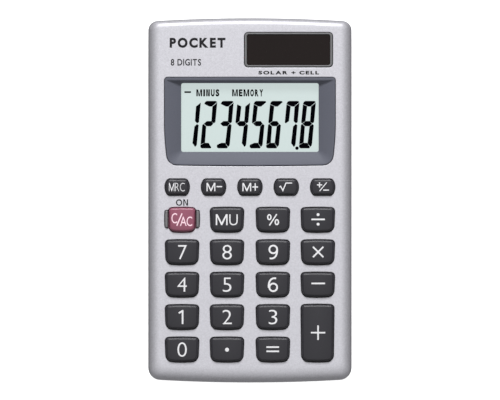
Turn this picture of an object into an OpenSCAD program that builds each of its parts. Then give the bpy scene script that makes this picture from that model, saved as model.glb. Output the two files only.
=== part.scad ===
// Pocket calculator lying on its back: X is its width, Y runs towards the display, Z is up through
// the keys. The origin is the middle of the underside. All sizes are in millimetres.

/* [Case] */
// Width of the body at the parting line
case_w = 57.2; // [57:0.1:57.2]
// Length of the body at its middle
case_l = 102.5; // [102.3:0.1:102.5]
// Height of the front face above the underside
face_z = 8.2; // [8.2:0.1:9.2]
// Thickness of the front wall
wall = 1.2; // [1:0.1:1.2]
// Height of the line where the two shells meet
parting_z = 3.6; // [3.6:0.1:3.8]
// How far the two ends bulge beyond a straight edge
end_bulge = 0.68; // [0.67:0.01:0.7]
// Plan radius of the two corners by the display
top_corner_r = 2.7; // [2.5:0.1:3]
// Plan radius of the two corners by the keys
bottom_corner_r = 3.5; // [3.2:0.1:3.8]
// Depth of the rounded edge of the face
round_depth = 2.6; // [2:0.1:2.6]
// How far the rounded edge reaches in from the long sides
round_side = 3.2; // [2.6:0.1:3.4]
// How far the rounded edge reaches in from the display end
round_top = 2; // [1.6:0.1:2.4]
// How far the rounded edge reaches in from the key end
round_bottom = 4; // [3.6:0.1:4]

/* [Keys] */
// How far the keys stand out of the face
key_rise = 0.9; // [0.6:0.1:1]
// Travel of every key
key_travel = 0.8; // [0.6:0.1:0.8]
// Distance between the two middle key columns
middle_pitch = 12.87; // [12.7:0.01:12.9]
// Distance between an outer key column and its neighbour
column_pitch = 12.61; // [12.5:0.01:12.7]
// Distance between the key rows
row_pitch = 9.1; // [9:0.01:9.12]
// Y of the middle of the first row of large keys
first_row_y = -5.43; // [-5.5:0.01:-5.4]
// Width of a large key at its top edge
key_w = 9.3; // [9:0.1:9.4]
// Height of a large key
key_h = 6.82; // [6.6:0.01:6.9]
// Width of the red clear key
clear_key_w = 7.55; // [7.3:0.05:7.6]
// Width of the tall plus key
plus_key_w = 9.14; // [9:0.02:9.3]
// Distance between the small function keys
function_pitch = 10.2; // [10:0.01:10.3]
// Y of the middle of the function keys
function_y = 3.74; // [3.6:0.01:3.8]
// Height of a function key
function_h = 4.36; // [4.2:0.02:4.5]
// Gap between a key and the edge of its hole
key_gap = 0.16; // [0.14:0.01:0.2]

/* [Display] */
// Width of the display bezel
bezel_w = 47.8; // [47:0.1:48]
// Y of the bezel's upper edge
bezel_top_y = 34.43; // [34.4:0.01:34.6]
// Y of the bezel's lower edge
bezel_bottom_y = 9.72; // [9.6:0.01:9.8]
// Width of the visible window
view_w = 38.6; // [37:0.1:39]
// Y of the window's upper edge
view_top_y = 33.05; // [32.5:0.05:33.1]
// Y of the window's lower edge
view_bottom_y = 13.6; // [13.4:0.05:14]

/* [Power] */
// Width of the solar panel's frame
solar_w = 24.6; // [24:0.05:25]
// Height of the solar panel's frame
solar_h = 9.6; // [9.4:0.05:9.8]
// X of the middle of the solar panel
solar_x = 10.82; // [10.5:0.01:11]
// Y of the middle of the solar panel
solar_y = 42.22; // [42.2:0.01:42.4]
// Diameter of the button cell
cell_d = 11.6; // [11.6:0.1:11.6]
// Height of the button cell
cell_h = 3.05; // [3.05:0.01:3.1]

/* [Hidden] */

// Colours
silver = [0.83, 0.83, 0.85];
dark_shell = [0.24, 0.24, 0.26];
slate = [0.40, 0.41, 0.46];
key_grey = [0.24, 0.24, 0.26];
key_red = [0.59, 0.36, 0.44];
smoked = [0.14, 0.13, 0.13];
lcd_green = [0.82, 0.89, 0.88];
board_green = [0.10, 0.38, 0.22];
steel = [0.72, 0.72, 0.74];
rubber_white = [0.88, 0.88, 0.85];
carbon = [0.10, 0.10, 0.10];

// Heights of the stack, from the underside up
floor_z = 1.2;
cell_z = 1.4;
board_z = 2.4;
board_t = 1.0;
board_top = board_z + board_t;
sheet_t = 0.4;
dome_top = 4.9;
flange_t = 0.8;
wall_under = face_z - wall;
flange_top = wall_under - 0.2;
flange_z = flange_top - flange_t;
key_top = face_z + key_rise;

// Shell details
end_chord = case_w - 8;
end_r = (pow(end_chord / 2, 2) + pow(end_bulge, 2)) / (2 * end_bulge);
shell_step = 0.15;
front_wall = 1.5;
rear_wall = 2.15;
tongue_gap = 0.05;
tongue_h = 1;
board_inset = 2.35;
slab = 0.01;
rear_round = 1.6;
rear_round_h = 1.4;
corner_steps = 5;
end_steps = 6;

// Key details
key_top_r = 1;
key_bottom_r = 2;
key_taper = 0.3;
key_top_arch = 0.1;
key_bottom_arch = 0.2;
key_bevel = 0.45;
key_bevel_h = 0.3;
key_wall = 0.9;
flange_out = 0.4;
plunger_r = 1.6;
function_arc_r = 3.15;
function_arc_x = 0.22;
function_fillet = 0.6;
plus_key_x = 18.96;
plus_key_y = -37.22;
plus_key_h = 16;
clear_key_x = -19.03;
clear_key_y = first_row_y;

// Flat middle of the face, which holds every opening
panel_w = 49.6;
panel_top_y = 48.1;
panel_bottom_y = -46.2;
panel_r = 2;

// Clear-key guard
guard_x = 3.9;
guard_t = 1;
guard_h = 4.8;
guard_y = -5.25;
guard_top = face_z + 0.6;
guard_gap = 0.1;
guard_ring = [11.8, 9.3];
guard_ring_hole = [7.9, 8.2];

// Rubber domes
dome_base_r = 3.3;
dome_top_r = 2.3;
dome_skin = 0.5;
pill_r = 1.5;
pill_t = 0.2;
pill_z = board_top + key_travel;

// Display details
bezel_proud = 0.15;
bezel_flange = 0.8;
bezel_corner_r = 0.8;
bezel_foot_r = 2.9;
bezel_foot_inset = 0.57;
bezel_bend_y = 22;
bezel_rim = 0.35;
bezel_z = 6.2;
pane_over = 1;
pane_t = 0.8;
view_r = 0.6;
view_h = view_top_y - view_bottom_y;
view_y = (view_top_y + view_bottom_y) / 2;
glass_t = 0.55;
film_t = 0.2;
glass_w = 42.8;
glass_top_y = 34.3;
glass_bottom_y = 10.9;
ledge = 2.3;
glass_z = 5.4;
holder_t = 2;
holder_gap = 0.1;
zebra_w = 40;
zebra_t = 1.7;

// Solar panel details
solar_r = 1;
solar_lip = 0.68;
solar_lip_y = 0.55;
solar_pane_top = face_z - 0.1;
solar_cell_t = 0.7;
lead_r = 0.35;
lead_bend = 1.2;
lead_x = -2.2;
lead_run = 3.4;
lead_spread = 4.2;

// Button cell and its contacts
cell_x = -15.5;
cell_y = 41.5;
cap_r = 4.6;
cap_h = 0.35;
strap_t = 0.2;
strap_w = 3;

// Screws: the corner ones hold the shells together, the others hold the board to the front
case_screw_at = [[25.1, 46.95], [-25.1, 46.95], [24.7, -47.1], [-24.7, -47.1]];
case_boss_r = 1.5;
case_boss_z = 2;
case_thread_r = 0.75;
case_head_r = 1.5;
case_head_h = 0.85;
case_recess_r = 1.65;
case_recess_h = 1;
case_hole_r = 1;
case_screw_top = 6;
boss_gap = 0.2;
board_screw_at = [[15.25, 6.95], [-15.25, 6.95], [12.72, -48.1], [-12.72, -48.1]];
board_boss_r = 1.2;
board_thread_r = 0.6;
board_head_r = 1.3;
board_head_h = 0.7;
board_screw_top = 6;

// ---------------------------------------------------------------- outlines

// Points along an arc, both ends included
function arc(x, y, r, from, to, steps) = [
    for (i = [0:steps]) let (a = from + (to - from) * i / steps) [x + r * cos(a), y + r * sin(a)]
];

// Points of a shallow arch from x = half to x = -half, both ends left out
function arch(half, y, rise, steps) = [
    for (i = [1:steps - 1]) let (x = half * (1 - 2 * i / steps)) [x, y + rise * (1 - pow(x / half, 2))]
];

function turned(points) = [for (p = points) [-p[0], -p[1]]];

// Half of the case outline: one end with its two corners, from the right side to the left
function case_end(half_w, half_l, r) =
    let (
        slope = asin((half_w - r) / (end_r - r)),
        y = half_l - end_r + sqrt(pow(end_r - r, 2) - pow(half_w - r, 2)),
        bow = arc(0, half_l - end_r, end_r, 90 - slope, 90 + slope, end_steps)
    )
    concat(
        arc(half_w - r, y, r, 0, 90 - slope, corner_steps),
        [for (i = [1:end_steps - 1]) bow[i]],
        arc(r - half_w, y, r, 90 + slope, 180, corner_steps)
    );

// Whole case outline, set in from the sides, the display end and the key end
function case_outline(side, top, bottom) = concat(
    case_end(case_w / 2 - side, case_l / 2 - top, top_corner_r - side / 2),
    turned(case_end(case_w / 2 - side, case_l / 2 - bottom, bottom_corner_r - side / 2))
);

// Case outline set in by the same amount all round
function even_outline(inset) = case_outline(inset, inset, inset);

// Shield-shaped key: small corners on top, large corners below, slightly arched ends
function shield_outline(w, h, grow) =
    let (
        half_w = w / 2 + grow,
        foot_w = half_w - key_taper / 2,
        half_h = h / 2 + grow,
        rt = key_top_r + grow,
        rb = key_bottom_r + grow,
        top_y = half_h - key_top_arch,
        foot_y = key_bottom_arch - half_h
    )
    concat(
        arc(half_w - rt, top_y - rt, rt, 0, 90, corner_steps),
        arch(half_w - rt, top_y, key_top_arch, 4),
        arc(rt - half_w, top_y - rt, rt, 90, 180, corner_steps),
        arc(rb - foot_w, foot_y + rb, rb, 180, 270, corner_steps),
        turned(arch(foot_w - rb, -foot_y, key_bottom_arch, 4)),
        arc(foot_w - rb, foot_y + rb, rb, 270, 360, corner_steps)
    );

// Small key: bulging sides, flat top and bottom
function pill_outline(grow) =
    let (
        half_h = function_h / 2,
        reach = function_arc_r - function_fillet,
        turn = asin((half_h - function_fillet) / reach),
        x = function_arc_x + reach * cos(turn),
        y = half_h - function_fillet,
        r = function_fillet + grow,
        side = arc(function_arc_x, 0, function_arc_r + grow, -turn, turn, 6),
        half = concat(
            [for (i = [1:5]) side[i]],
            arc(x, y, r, turn, 90, corner_steps),
            arc(-x, y, r, 90, 180 - turn, corner_steps)
        )
    )
    concat(half, turned(half));

// Display bezel: square shoulders, sides that draw in towards two large lower corners
function bezel_outline(grow) =
    let (
        half_w = bezel_w / 2 + grow,
        rt = bezel_corner_r + max(grow, 0),
        rb = bezel_foot_r + grow,
        foot_x = half_w - bezel_foot_inset,
        foot_y = bezel_bottom_y - grow + key_bottom_arch + rb,
        drop = bezel_bend_y - foot_y,
        top_y = bezel_top_y + grow,
        side = [for (i = [0:4]) [half_w - bezel_foot_inset * pow(i / 5, 2), bezel_bend_y - drop * i / 5]],
        left = [for (p = side) [-p[0], p[1]]]
    )
    concat(
        arc(half_w - rt, top_y - rt, rt, 0, 90, corner_steps),
        arc(rt - half_w, top_y - rt, rt, 90, 180, corner_steps),
        left,
        arc(rb - foot_x, foot_y, rb, 180, 270, corner_steps),
        turned(arch(foot_x - rb, rb - foot_y, key_bottom_arch, 4)),
        arc(foot_x - rb, foot_y, rb, 270, 360, corner_steps),
        [for (i = [4:-1:0]) side[i]]
    );

// ---------------------------------------------------------------- shared shapes

// Flat-bottomed slab of an outline between two heights
module slab_between(outline, low, high) {
    translate([0, 0, low])
        linear_extrude(high - low)
            polygon(outline);
}

module rounded_rect(w, h, r) {
    polygon(concat(
        arc(w / 2 - r, h / 2 - r, r, 0, 90, corner_steps),
        arc(r - w / 2, h / 2 - r, r, 90, 180, corner_steps),
        arc(r - w / 2, r - h / 2, r, 180, 270, corner_steps),
        arc(w / 2 - r, r - h / 2, r, 270, 360, corner_steps)
    ));
}

// Rounded plate between two heights
module plate(x, y, w, h, r, low, high) {
    translate([x, y, low])
        linear_extrude(high - low)
            rounded_rect(w, h, r);
}

// Square-cornered block between two heights
module block(x, y, w, h, low, high) {
    translate([x - w / 2, y - h / 2, low])
        cube([w, h, high - low]);
}

module post(x, y, r, low, high) {
    translate([x, y, low])
        cylinder(r = r, h = high - low, $fn = 32);
}

module at_case_screws() {
    for (p = case_screw_at)
        translate([p[0], p[1], 0])
            children();
}

module at_board_screws() {
    for (p = board_screw_at)
        translate([p[0], p[1], 0])
            children();
}

// Flat-headed screw standing on its head, with a cross recess
module screw(head_r, head_h, thread_r, head_z, top_z) {
    slot_w = head_r / 4;
    slot_l = head_r * 1.3;
    difference() {
        union() {
            post(0, 0, head_r, head_z, head_z + head_h);
            post(0, 0, thread_r, head_z + head_h, top_z);
        }
        for (turn = [0, 90])
            rotate([0, 0, turn])
                block(0, 0, slot_l, slot_w, head_z - 1, head_z + head_h / 2);
    }
}

// ---------------------------------------------------------------- key places

function column_x(column) =
    sign(column - 1.5) * (middle_pitch / 2 + (abs(column - 1.5) - 1 / 2) * column_pitch);
function row_y(row) = first_row_y - row * row_pitch;

// Column and row of every large key of the common size
grid_keys = [
    for (row = [0:4], column = [0:3])
        if (!(row == 0 && column == 0) && !(row > 2 && column == 3)) [column_x(column), row_y(row)]
];
function_keys = [for (i = [-2:2]) [i * function_pitch, function_y]];
other_keys = [[clear_key_x, clear_key_y], [plus_key_x, plus_key_y]];
all_keys = concat(grid_keys, function_keys, other_keys);

module key_holes() {
    for (p = grid_keys)
        translate(p)
            polygon(shield_outline(key_w, key_h, key_gap));
    for (p = function_keys)
        translate(p)
            polygon(pill_outline(key_gap));
    translate([clear_key_x, clear_key_y])
        polygon(shield_outline(clear_key_w, key_h, key_gap));
    translate([plus_key_x, plus_key_y])
        polygon(shield_outline(plus_key_w, plus_key_h, key_gap));
    guard_ribs(guard_gap);
}

// Outlines of the two ribs beside the clear key
module guard_ribs(grow) {
    for (side = [-1, 1])
        translate([clear_key_x + side * (guard_x + guard_t / 2), guard_y])
            rounded_rect(guard_t + 2 * grow, guard_h + 2 * grow, guard_t / 3);
}

// ---------------------------------------------------------------- shells

module front_case() {
    color(silver)
        difference() {
            union() {
                front_rim();
                front_panel();
                at_case_screws()
                    post(0, 0, case_boss_r, case_boss_z, wall_under);
                at_board_screws()
                    post(0, 0, board_boss_r, board_top, wall_under);
            }
            at_case_screws()
                post(0, 0, case_thread_r, case_boss_z - 1, case_screw_top);
            at_board_screws()
                post(0, 0, board_thread_r, board_top - 1, board_screw_top);
        }
}

// Rounded side walls and the rounded edge of the face, open where the panel goes
module front_rim() {
    difference() {
        hull() {
            slab_between(even_outline(0), parting_z, parting_z + slab);
            for (a = [0:15:90])
                slab_between(
                    case_outline(
                        round_side * (1 - cos(a)),
                        round_top * (1 - cos(a)),
                        round_bottom * (1 - cos(a))
                    ),
                    face_z - round_depth * (1 - sin(a)) - slab,
                    face_z - round_depth * (1 - sin(a))
                );
        }
        slab_between(even_outline(front_wall), parting_z - 1, wall_under);
        translate([0, 0, wall_under - 1])
            linear_extrude(wall + 2)
                panel_outline();
    }
}

module panel_outline() {
    translate([0, (panel_top_y + panel_bottom_y) / 2])
        rounded_rect(panel_w, panel_top_y - panel_bottom_y, panel_r);
}

// Flat middle of the face with its openings
module front_panel() {
    translate([0, 0, wall_under])
        linear_extrude(wall)
            difference() {
                panel_outline();
                key_holes();
                polygon(bezel_outline(key_gap));
                translate([solar_x, solar_y])
                    rounded_rect(solar_w + 2 * key_gap, solar_h + 2 * key_gap, solar_r + key_gap);
            }
}

// Rear shell, its wall relieved around the bosses and the screw heads of the board
module rear_case() {
    inner = even_outline(rear_wall);
    color(dark_shell)
        difference() {
            union() {
                difference() {
                    hull() {
                        slab_between(even_outline(shell_step), parting_z - slab, parting_z);
                        for (a = [0:18:90])
                            slab_between(
                                even_outline(shell_step + rear_round * (1 - cos(a))),
                                rear_round_h * (1 - sin(a)),
                                rear_round_h * (1 - sin(a)) + slab
                            );
                    }
                    slab_between(inner, floor_z, parting_z + 1);
                }
                tongue(inner);
                at_case_screws()
                    post(0, 0, case_boss_r + 0.6, floor_z - 0.2, case_boss_z);
                cell_pocket();
            }
            at_case_screws()
                post(0, 0, case_recess_r, -1, case_recess_h);
            at_case_screws()
                post(0, 0, case_hole_r, -1, case_boss_z + 1);
            at_case_screws()
                post(0, 0, case_boss_r + boss_gap, case_boss_z, parting_z + tongue_h + 1);
            at_board_screws()
                post(
                    0, 0, board_head_r + boss_gap,
                    board_z - board_head_h - boss_gap, parting_z + tongue_h + 1
                );
        }
}

// Ring that rises inside the front shell
module tongue(inner) {
    outer = front_wall + tongue_gap;
    difference() {
        slab_between(even_outline(outer), parting_z - 0.5, parting_z + tongue_h);
        slab_between(inner, parting_z - 1, parting_z + tongue_h + 1);
    }
}

// Low wall that keeps the button cell in its place, open where the lower contact leaves
module cell_pocket() {
    pocket_r = cell_d / 2 + 0.15;
    difference() {
        post(cell_x, cell_y, pocket_r + 0.8, floor_z - 0.2, board_z - 0.2);
        post(cell_x, cell_y, pocket_r, floor_z, board_z);
        block(cell_x + pocket_r, cell_y - strap_w, 2 * pocket_r, strap_w + 0.6, floor_z, board_z);
    }
}

module clear_key_guard() {
    color(slate)
        union() {
            difference() {
                plate(
                    clear_key_x, clear_key_y, guard_ring[0], guard_ring[1], guard_t / 2,
                    flange_z, wall_under
                );
                block(
                    clear_key_x, clear_key_y, guard_ring_hole[0], guard_ring_hole[1],
                    flange_z - 1, wall_under + 1
                );
            }
            translate([0, 0, flange_z])
                linear_extrude(guard_top - flange_z)
                    guard_ribs(0);
        }
}

// ---------------------------------------------------------------- display

module display_bezel() {
    top = face_z + bezel_proud;
    color(slate)
        difference() {
            union() {
                slab_between(bezel_outline(0), bezel_z, top);
                slab_between(bezel_outline(bezel_flange), bezel_z, wall_under);
            }
            hull() {
                plate(0, view_y, view_w, view_h, view_r, bezel_z + pane_t, bezel_z + pane_t + 2 * slab);
                slab_between(bezel_outline(-bezel_rim), top, top + slab);
            }
            plate(0, view_y, view_w, view_h, view_r, bezel_z - 1, top);
            plate(
                0, view_y, view_w + 2 * pane_over, view_h + 2 * pane_over, view_r,
                bezel_z - 1, bezel_z + pane_t
            );
        }
}

module display_window() {
    color([0.9, 0.95, 0.97, 0.4])
        plate(
            0, view_y, view_w + 2 * pane_over, view_h + 2 * pane_over, view_r,
            bezel_z, bezel_z + pane_t
        );
}

// One sheet of the display, its lower edge raised by a ledge
module lcd_sheet(inset, raised, low, high) {
    top_y = glass_top_y - inset;
    bottom_y = glass_bottom_y + raised + inset;
    block(0, (top_y + bottom_y) / 2, glass_w - 2 * inset, top_y - bottom_y, low, high);
}

module lcd_front_polariser() {
    color(lcd_green)
        lcd_sheet(0.8, 0, glass_z + glass_t, glass_z + glass_t + film_t);
}

module lcd_front_glass() {
    color(lcd_green)
        lcd_sheet(0, 0, glass_z, glass_z + glass_t);
}

module lcd_rear_glass() {
    color(lcd_green)
        lcd_sheet(0, ledge, glass_z - glass_t, glass_z);
}

module lcd_rear_polariser() {
    color(rubber_white)
        lcd_sheet(0.8, ledge, glass_z - glass_t - film_t, glass_z - glass_t);
}

module lcd_cushion() {
    color(carbon)
        lcd_sheet(1.6, ledge, board_top, glass_z - glass_t - film_t);
}

module lcd_holder() {
    h = glass_top_y - glass_bottom_y + 2 * holder_gap;
    w = glass_w + 2 * holder_gap;
    y = (glass_top_y + glass_bottom_y) / 2;
    color(rubber_white)
        difference() {
            block(0, y, w + holder_t, h + 1.4, board_top, glass_z + glass_t);
            block(0, y, w, h, board_top - 1, glass_z + glass_t + 1);
        }
}

module zebra_strip() {
    color(carbon)
        block(
            0, glass_bottom_y + 0.3 + zebra_t / 2, zebra_w, zebra_t,
            board_top, glass_z
        );
}

// ---------------------------------------------------------------- power

module solar_frame() {
    color(slate)
        difference() {
            plate(solar_x, solar_y, solar_w, solar_h, solar_r, wall_under, face_z + bezel_proud);
            plate(
                solar_x, solar_y, solar_w - 2 * solar_lip, solar_h - 2 * solar_lip_y, solar_r / 2,
                wall_under - 1, face_z + 1
            );
        }
}

module solar_window() {
    color(smoked)
        plate(
            solar_x, solar_y, solar_w - 2 * solar_lip, solar_h - 2 * solar_lip_y, solar_r / 2,
            wall_under, solar_pane_top
        );
}

module solar_cell() {
    color([0.10, 0.07, 0.12])
        block(
            solar_x, solar_y, solar_w - 2 * solar_lip, solar_h - 2 * solar_lip_y,
            wall_under - solar_cell_t, wall_under
        );
}

// Two wires that leave the underside of the cell, bend down and meet the board
module solar_leads() {
    lead_z = wall_under - solar_cell_t - lead_r;
    color("firebrick")
        for (side = [-1, 1])
            translate([lead_x, solar_y + side * lead_spread / 2, lead_z])
                union() {
                    rotate([0, 90, 0])
                        cylinder(r = lead_r, h = lead_run, $fn = 24);
                    translate([0, 0, -lead_bend])
                        rotate([-90, 180, 0])
                            rotate_extrude(angle = 90, $fn = 32)
                                translate([lead_bend, 0])
                                    circle(r = lead_r, $fn = 24);
                    translate([-lead_bend, 0, board_top - lead_z])
                        cylinder(r = lead_r, h = lead_z - lead_bend - board_top, $fn = 24);
                }
}

module button_cell() {
    color(steel)
        union() {
            post(cell_x, cell_y, cell_d / 2, cell_z, cell_z + cell_h - cap_h);
            post(cell_x, cell_y, cap_r, cell_z + cell_h - cap_h, cell_z + cell_h);
        }
}

// Strip of sheet metal with a step in it: z_in over the cell, z_out against the board
module contact_strap(y, x_in, x_step, x_out, z_in, z_out) {
    low = min(z_in, z_out);
    high = max(z_in, z_out) + strap_t;
    union() {
        block((x_in + x_step) / 2, y, x_step - x_in, strap_w, z_in, z_in + strap_t);
        block(x_step, y, strap_t, strap_w, low, high);
        block((x_out + x_step) / 2, y, x_out - x_step, strap_w, z_out, z_out + strap_t);
    }
}

module positive_contact() {
    color(steel)
        contact_strap(cell_y - strap_w, cell_x - 1, -7.8, -5.2, floor_z, board_z - strap_t);
}

module negative_contact() {
    color(steel)
        contact_strap(cell_y + strap_w - 1, cell_x - 1, -8.4, -5.8, cell_z + cell_h, board_top);
}

// ---------------------------------------------------------------- board

module main_board() {
    color(board_green)
        difference() {
            slab_between(even_outline(board_inset), board_z, board_top);
            at_case_screws()
                post(0, 0, case_boss_r + boss_gap, board_z - 1, board_top + 1);
            at_board_screws()
                post(0, 0, board_thread_r + 0.2, board_z - 1, board_top + 1);
            post(cell_x, cell_y, cell_d / 2 + 0.5, board_z - 1, board_top + 1);
        }
}

// Resin cap over the bonded chip, on the underside of the board
module chip_cover() {
    cover_r = 5;
    cover_h = 1;
    ball_r = (pow(cover_r, 2) + pow(cover_h, 2)) / (2 * cover_h);
    edge = acos(cover_r / ball_r);
    color(carbon)
        translate([8, 24, board_z])
            rotate_extrude($fn = 64)
                polygon(concat([[0, 0]], arc(0, ball_r - cover_h, ball_r, -edge, -90, 8)));
}

// Electrolytic capacitor lying on the board under the solar cell
module capacitor() {
    can_r = 1.35;
    can_l = 4.6;
    can_x = 12;
    can_y = 40.4;
    color([0.15, 0.2, 0.42])
        union() {
            translate([can_x, can_y, board_top + can_r])
                rotate([-90, 0, 0])
                    cylinder(r = can_r, h = can_l, $fn = 32);
            for (side = [-1, 1]) {
                translate([can_x + side * can_r / 2, can_y - 1.2, board_top + can_r])
                    rotate([-90, 0, 0])
                        cylinder(r = 0.2, h = 1.4, $fn = 16);
                post(can_x + side * can_r / 2, can_y - 1.2, 0.2, board_top, board_top + can_r + 0.2);
            }
        }
}

// Silicone sheet with a hollow dome under every key
module keypad_sheet() {
    sheet_top_y = 8.4;
    color(rubber_white)
        difference() {
            union() {
                intersection() {
                    slab_between(even_outline(board_inset + 0.1), board_top, board_top + sheet_t);
                    block(0, sheet_top_y - case_l / 2, case_w, case_l, board_top - 1, board_top + 1);
                }
                for (p = all_keys)
                    translate([p[0], p[1], board_top])
                        cylinder(r1 = dome_base_r, r2 = dome_top_r, h = dome_top - board_top, $fn = 32);
            }
            for (p = all_keys) {
                translate([p[0], p[1], board_top - slab])
                    cylinder(
                        r1 = dome_base_r - dome_skin, r2 = dome_top_r - dome_skin,
                        h = dome_top - board_top - dome_skin + slab, $fn = 32
                    );
            }
            at_case_screws()
                post(0, 0, case_boss_r + boss_gap, board_top - 1, board_top + 1);
            at_board_screws()
                post(0, 0, board_boss_r + boss_gap, board_top - 1, board_top + 1);
        }
}

// Conductive pills under the domes
module contact_pills() {
    color(carbon)
        for (p = all_keys)
            post(p[0], p[1], pill_r, pill_z, pill_z + pill_t);
}

module case_screws() {
    color(steel)
        at_case_screws()
            screw(
                case_head_r, case_head_h, case_thread_r,
                case_recess_h - case_head_h, case_screw_top - 0.4
            );
}

module board_screws() {
    color(steel)
        at_board_screws()
            screw(
                board_head_r, board_head_h, board_thread_r,
                board_z - board_head_h, board_screw_top - 0.4
            );
}

// ---------------------------------------------------------------- keys

// Cap with a bevelled crown, a flange that keeps it in the case and a plunger over its dome
module key(outline, crown, flange, hollow) {
    difference() {
        union() {
            hull() {
                slab_between(outline, flange_top, key_top - key_bevel_h);
                slab_between(crown, key_top - slab, key_top);
            }
            slab_between(flange, flange_z, flange_top);
        }
        slab_between(hollow, flange_z - 1, key_top - key_wall);
    }
    post(0, 0, plunger_r, dome_top, key_top - key_wall);
}

module shield_key(w, h, side_flange) {
    key(
        shield_outline(w, h, 0),
        shield_outline(w, h, -key_bevel),
        shield_outline(w + 2 * side_flange - 2 * flange_out, h, flange_out),
        shield_outline(w, h, -key_wall)
    );
}

module grid_key(column, row) {
    color(key_grey)
        translate([column_x(column), row_y(row), 0])
            shield_key(key_w, key_h, flange_out);
}

module function_key(place) {
    color(key_grey)
        translate([place * function_pitch, function_y, 0])
            key(pill_outline(0), pill_outline(-key_bevel), pill_outline(flange_out), pill_outline(-0.5));
}

module key_mrc() { function_key(-2); }
module key_m_minus() { function_key(-1); }
module key_m_plus() { function_key(0); }
module key_root() { function_key(1); }
module key_sign() { function_key(2); }

module key_clear() {
    color(key_red)
        translate([clear_key_x, clear_key_y, 0])
            shield_key(clear_key_w, key_h, 0);
}

module key_mu() { grid_key(1, 0); }
module key_percent() { grid_key(2, 0); }
module key_divide() { grid_key(3, 0); }
module key_7() { grid_key(0, 1); }
module key_8() { grid_key(1, 1); }
module key_9() { grid_key(2, 1); }
module key_multiply() { grid_key(3, 1); }
module key_4() { grid_key(0, 2); }
module key_5() { grid_key(1, 2); }
module key_6() { grid_key(2, 2); }
module key_minus() { grid_key(3, 2); }
module key_1() { grid_key(0, 3); }
module key_2() { grid_key(1, 3); }
module key_3() { grid_key(2, 3); }
module key_0() { grid_key(0, 4); }
module key_point() { grid_key(1, 4); }
module key_equals() { grid_key(2, 4); }

module key_plus() {
    color(key_grey)
        translate([plus_key_x, plus_key_y, 0])
            shield_key(plus_key_w, plus_key_h, flange_out);
}

// ---------------------------------------------------------------- drawing

front_case();
rear_case();
display_bezel();
display_window();
solar_frame();
solar_window();
solar_cell();
solar_leads();
lcd_front_polariser();
lcd_front_glass();
lcd_rear_glass();
lcd_rear_polariser();
lcd_holder();
lcd_cushion();
zebra_strip();
main_board();
chip_cover();
capacitor();
keypad_sheet();
contact_pills();
clear_key_guard();
button_cell();
positive_contact();
negative_contact();
case_screws();
board_screws();
key_mrc();
key_m_minus();
key_m_plus();
key_root();
key_sign();
key_clear();
key_mu();
key_percent();
key_divide();
key_7();
key_8();
key_9();
key_multiply();
key_4();
key_5();
key_6();
key_minus();
key_1();
key_2();
key_3();
key_plus();
key_0();
key_point();
key_equals();
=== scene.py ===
"""Looks of the pocket calculator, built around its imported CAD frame.

Shapes are worked out in millimetres in the frame's own axes and turned into metres when a mesh is made.
X is the width, Y runs towards the display and Z is up through the keys.
"""

import math

import bmesh
import bpy
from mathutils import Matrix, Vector, geometry


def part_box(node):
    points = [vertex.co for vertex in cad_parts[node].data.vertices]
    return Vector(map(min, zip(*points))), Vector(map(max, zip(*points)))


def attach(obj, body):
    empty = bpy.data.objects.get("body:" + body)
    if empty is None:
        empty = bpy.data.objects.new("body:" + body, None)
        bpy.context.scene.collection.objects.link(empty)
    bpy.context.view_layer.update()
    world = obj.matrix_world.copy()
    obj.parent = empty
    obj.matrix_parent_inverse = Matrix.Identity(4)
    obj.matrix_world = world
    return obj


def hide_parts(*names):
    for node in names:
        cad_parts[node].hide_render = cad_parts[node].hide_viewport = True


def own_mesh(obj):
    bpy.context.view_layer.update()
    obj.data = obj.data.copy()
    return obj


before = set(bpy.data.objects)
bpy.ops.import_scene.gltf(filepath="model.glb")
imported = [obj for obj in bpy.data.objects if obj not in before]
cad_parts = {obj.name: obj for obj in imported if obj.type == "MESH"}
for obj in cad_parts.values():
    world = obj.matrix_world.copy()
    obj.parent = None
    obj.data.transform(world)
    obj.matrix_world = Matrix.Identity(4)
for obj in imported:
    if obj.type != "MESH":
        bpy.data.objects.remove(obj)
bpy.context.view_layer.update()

MM = 0.001
ROOT = "body"


# -------------------- places taken from the frame


def node_box(node):
    """Lowest and highest corner of a CAD node, in millimetres."""
    low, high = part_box(node)
    return low / MM, high / MM


def middle(node):
    low, high = node_box(node)
    return (low + high) / 2


def screw_places(node):
    """Middles of the four screws that share a node, one in each quarter of its box."""
    centre = middle(node)
    quarters = {}
    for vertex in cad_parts[node].data.vertices:
        x, y = vertex.co.x / MM, vertex.co.y / MM
        quarters.setdefault((x > centre.x, y > centre.y), []).append((x, y))
    places = []
    for spots in quarters.values():
        xs, ys = [p[0] for p in spots], [p[1] for p in spots]
        places.append(((min(xs) + max(xs)) / 2, (min(ys) + max(ys)) / 2))
    return places


SHELL_LOW, SHELL_HIGH = node_box("front_case")
CASE_W = SHELL_HIGH.x - SHELL_LOW.x
CASE_L = SHELL_HIGH.y - SHELL_LOW.y
FACE_Z = SHELL_HIGH.z
WALL_UNDER = node_box("solar_frame")[0].z
BOARD_TOP = node_box("main_board")[1].z
KEY_TOP = node_box("key_5")[1].z

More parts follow.
